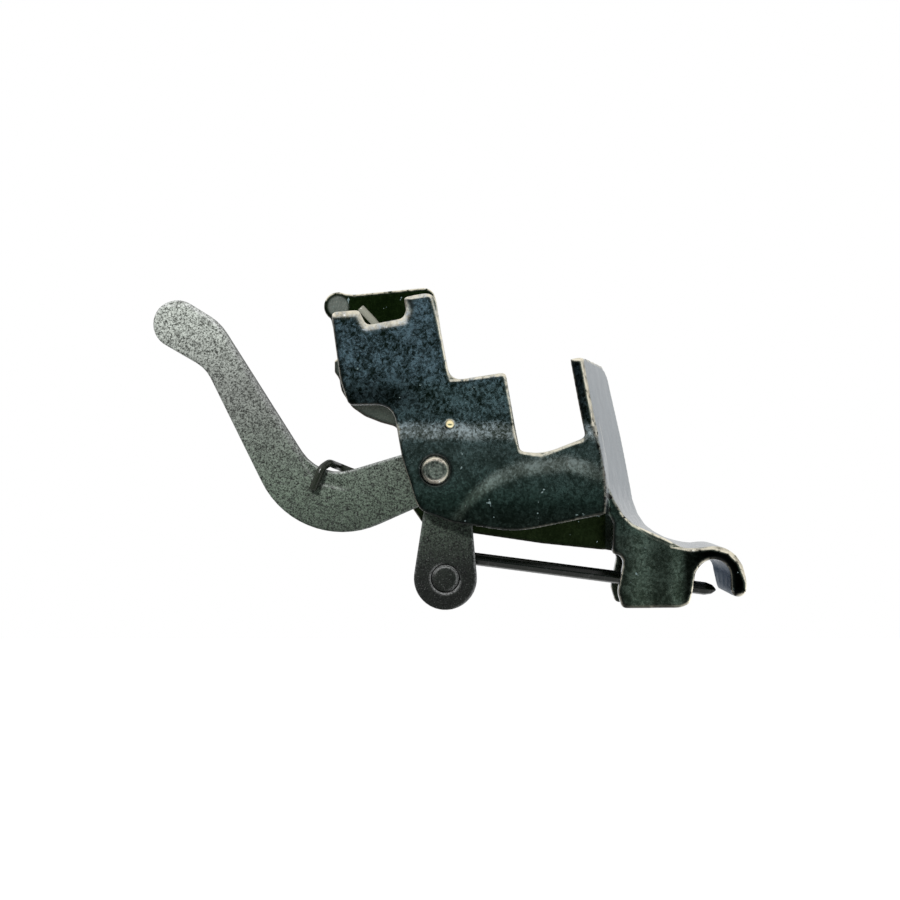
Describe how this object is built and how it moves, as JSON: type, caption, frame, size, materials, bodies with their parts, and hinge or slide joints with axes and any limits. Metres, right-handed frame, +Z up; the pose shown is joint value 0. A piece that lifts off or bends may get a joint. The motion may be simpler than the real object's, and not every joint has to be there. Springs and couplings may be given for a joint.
{
  "type": "presser foot holder",
  "caption": "Clip-on presser foot holder with slotted shank wall, flared front plate and hook, sprung release lever and latch rod.",
  "frame": {"origin": "centre of the screw slot on the slotted wall's inner face, where the presser bar is clamped", "axes": "+X from the slotted wall towards the presser bar, -Y towards the hook at the front of the machine, +Z up"},
  "size_m": [0.0069, 0.0398, 0.0221],
  "materials": {
    "frame_steel": "bright nickel plate on folded sheet, with fine specks",
    "plate_steel": "bright nickel plate, sheared edges",
    "lever_steel": "tumbled grey steel, fine grain",
    "rivet_steel": "plated, set flush",
    "bush_steel": "turned",
    "spring_wire": "black spring wire",
    "rod_wire": "blackened and polished wire",
    "pin_steel": "set flush",
    "washer_steel": "flat"
  },
  "bodies": {
    "frame": {"side_frame": "frame_steel", "hook_plate": "plate_steel", "pivot_rivet": "rivet_steel", "pivot_bush": "bush_steel"},
    "lever": {"release_lever": "lever_steel", "link_pin": "pin_steel", "link_washer": "washer_steel", "torsion_spring": "spring_wire"},
    "latch": {"latch_rod": "rod_wire"}
  },
  "joints": [
    {"name": "lever_pivot", "type": "hinge", "parent": "frame", "child": "lever", "pos_m": [0, 0.00739, -0.00336], "axis": [1, 0, 0], "range_deg": [0, 12], "stiffness_Nm_per_rad": 0.004, "springref_deg": -34.38, "deforming": ["torsion_spring"]},
    {"name": "latch_slide", "type": "slide", "parent": "frame", "child": "latch", "axis": [0, 1, 0], "range_m": [0, 0.00155]}
  ],
  "couplings": [
    {"joint": "latch_slide", "follows": "lever_pivot", "m_per_rad": 0.0073}
  ]
}
